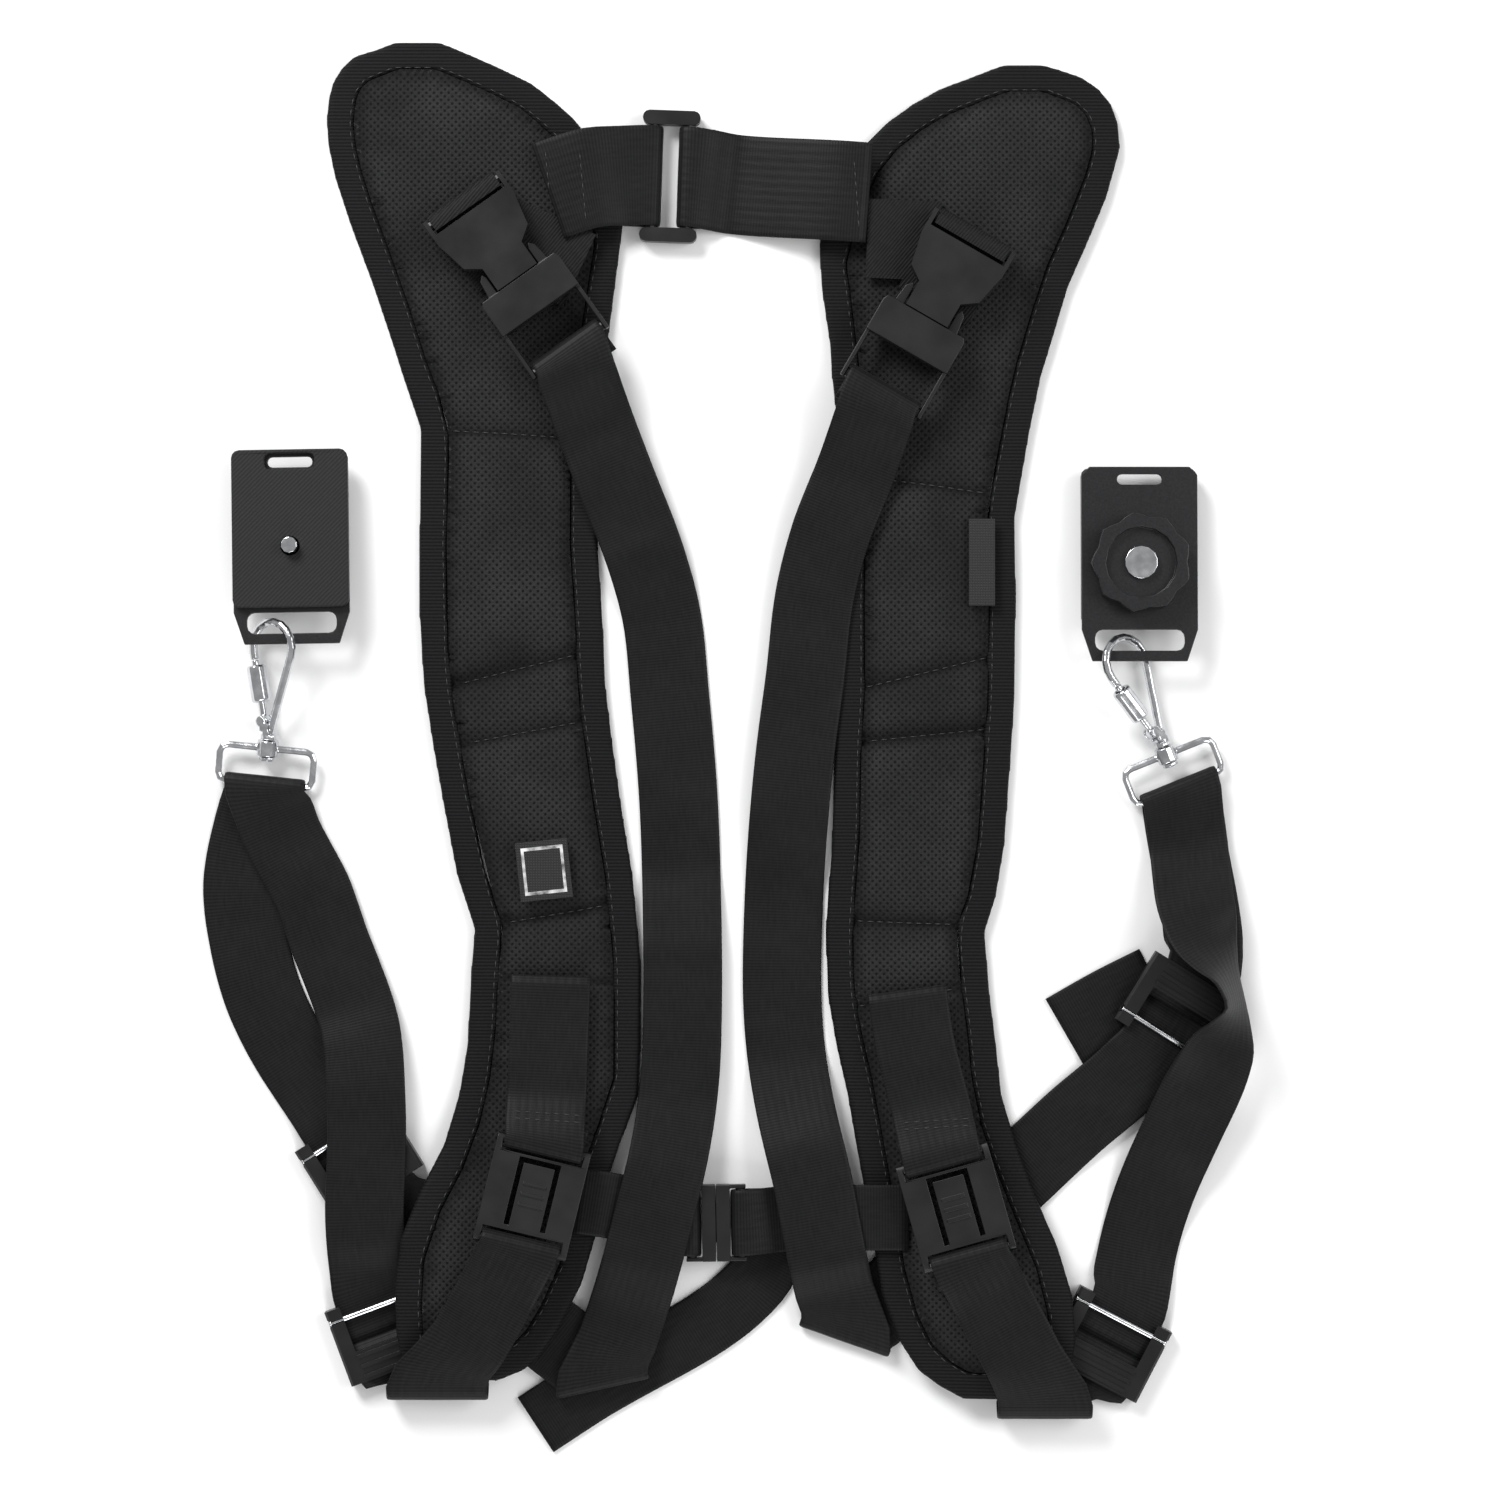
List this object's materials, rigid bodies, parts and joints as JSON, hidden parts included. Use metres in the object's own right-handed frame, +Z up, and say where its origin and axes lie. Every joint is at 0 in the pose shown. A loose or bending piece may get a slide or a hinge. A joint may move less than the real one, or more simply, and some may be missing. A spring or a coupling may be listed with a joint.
{
  "type": "dual camera harness",
  "caption": "Padded shoulder harness laid flat: adjustable webbing straps with side-release buckles, and a camera plate on a swivel hook at each side.",
  "frame": {"origin": "centre of the harness's footprint, on the surface that it lies on", "axes": "+Y along the pads to the cross strap, +X to the side of the right pad, +Z up from the surface"},
  "size_m": [0.4004, 0.538, 0.0381],
  "materials": {
    "pad_mesh": "spacer mesh with small diagonal holes",
    "binding_tape": "finely ribbed binding tape",
    "webbing": "woven nylon webbing, slight sheen",
    "moulded_plastic": "satin moulded acetal",
    "bright_steel": "polished",
    "black_metal": "black anodised, satin",
    "rubber_face": "matte with a fine grain",
    "woven_patch": "plain woven, no print"
  },
  "bodies": {
    "harness": {"left_pad": "pad_mesh", "left_pad_binding": "binding_tape", "left_buckle_anchor": "webbing", "left_front_strap": "webbing", "left_camera_strap": "webbing", "left_lower_strap": "webbing", "left_lower_anchor": "webbing", "left_upper_stopper": "moulded_plastic", "left_lower_stopper": "moulded_plastic", "left_top_buckle_socket": "moulded_plastic", "left_top_buckle_plug": "moulded_plastic", "left_lower_buckle": "moulded_plastic", "left_upper_stopper_bar": "bright_steel", "left_lower_stopper_bar": "bright_steel", "left_ring": "bright_steel", "right_pad": "pad_mesh", "right_pad_binding": "binding_tape", "right_buckle_anchor": "webbing", "right_front_strap": "webbing", "right_camera_strap": "webbing", "right_lower_strap": "webbing", "right_lower_anchor": "webbing", "right_upper_stopper": "moulded_plastic", "right_lower_stopper": "moulded_plastic", "right_top_buckle_socket": "moulded_plastic", "right_top_buckle_plug": "moulded_plastic", "right_lower_buckle": "moulded_plastic", "right_upper_stopper_bar": "bright_steel", "right_lower_stopper_bar": "bright_steel", "right_ring": "bright_steel", "chest_strap_tail": "webbing", "chest_strap_left": "webbing", "chest_strap_right": "webbing", "right_strap_tail": "webbing", "cross_strap_left": "webbing", "cross_strap_right": "webbing", "emblem_patch": "woven_patch", "side_label": "woven_patch", "cross_strap_slider": "moulded_plastic", "chest_buckle_socket": "moulded_plastic", "chest_buckle_plug": "moulded_plastic"},
    "left_hook_and_plate": {"left_hook": "bright_steel", "left_plate": "black_metal", "left_plate_rubber": "rubber_face"},
    "left_hook_gate": {"left_gate": "bright_steel"},
    "left_hook_sleeve": {"left_gate_sleeve": "bright_steel"},
    "left_screw_knob": {"left_knob": "black_metal", "left_camera_screw": "bright_steel"},
    "right_hook_and_plate": {"right_hook": "bright_steel", "right_plate": "black_metal", "right_plate_rubber": "rubber_face"},
    "right_hook_gate": {"right_gate": "bright_steel"},
    "right_hook_sleeve": {"right_gate_sleeve": "bright_steel"},
    "right_screw_knob": {"right_knob": "black_metal", "right_camera_screw": "bright_steel"}
  },
  "joints": [
    {"name": "left_hook_swivel", "type": "hinge", "parent": "harness", "child": "left_hook_and_plate", "pos_m": [-0.17507, -0.00025, 0.00554], "axis": [0.1032, 0.9823, 0.1564], "continuous": true},
    {"name": "left_gate_hinge", "type": "hinge", "parent": "left_hook_and_plate", "child": "left_hook_gate", "pos_m": [-0.17613, 0.01003, 0.00563], "axis": [-0.5838, -0.0675, 0.8091], "range_deg": [-15, 0], "stiffness_Nm_per_rad": 0.05},
    {"name": "left_sleeve_slide", "type": "slide", "parent": "left_hook_gate", "child": "left_hook_sleeve", "axis": [-0.1632, 0.986, -0.0355], "range_m": [-0.004, 0.004]},
    {"name": "left_screw_turn", "type": "hinge", "parent": "left_hook_and_plate", "child": "left_screw_knob", "pos_m": [-0.16559, 0.07612, 0.01047], "axis": [-0.0009, 0.0523, 0.9986], "continuous": true},
    {"name": "right_hook_swivel", "type": "hinge", "parent": "harness", "child": "right_hook_and_plate", "pos_m": [0.16703, -0.00269, 0.00481], "axis": [-0.3726, 0.9221, 0.1045], "range_deg": [-165, 90]},
    {"name": "right_gate_hinge", "type": "hinge", "parent": "right_hook_and_plate", "child": "right_hook_gate", "pos_m": [0.16139, 0.00559, 0.00734], "axis": [0.5639, 0.1355, 0.8147], "range_deg": [-15, 0], "stiffness_Nm_per_rad": 0.05},
    {"name": "right_sleeve_slide", "type": "slide", "parent": "right_hook_gate", "child": "right_hook_sleeve", "axis": [-0.5912, 0.755, 0.2837], "range_m": [-0.004, 0.004]},
    {"name": "right_screw_turn", "type": "hinge", "parent": "right_hook_and_plate", "child": "right_screw_knob", "pos_m": [0.15636, 0.06959, 0.00976], "axis": [0, -0.0436, -0.999], "continuous": true}
  ]
}
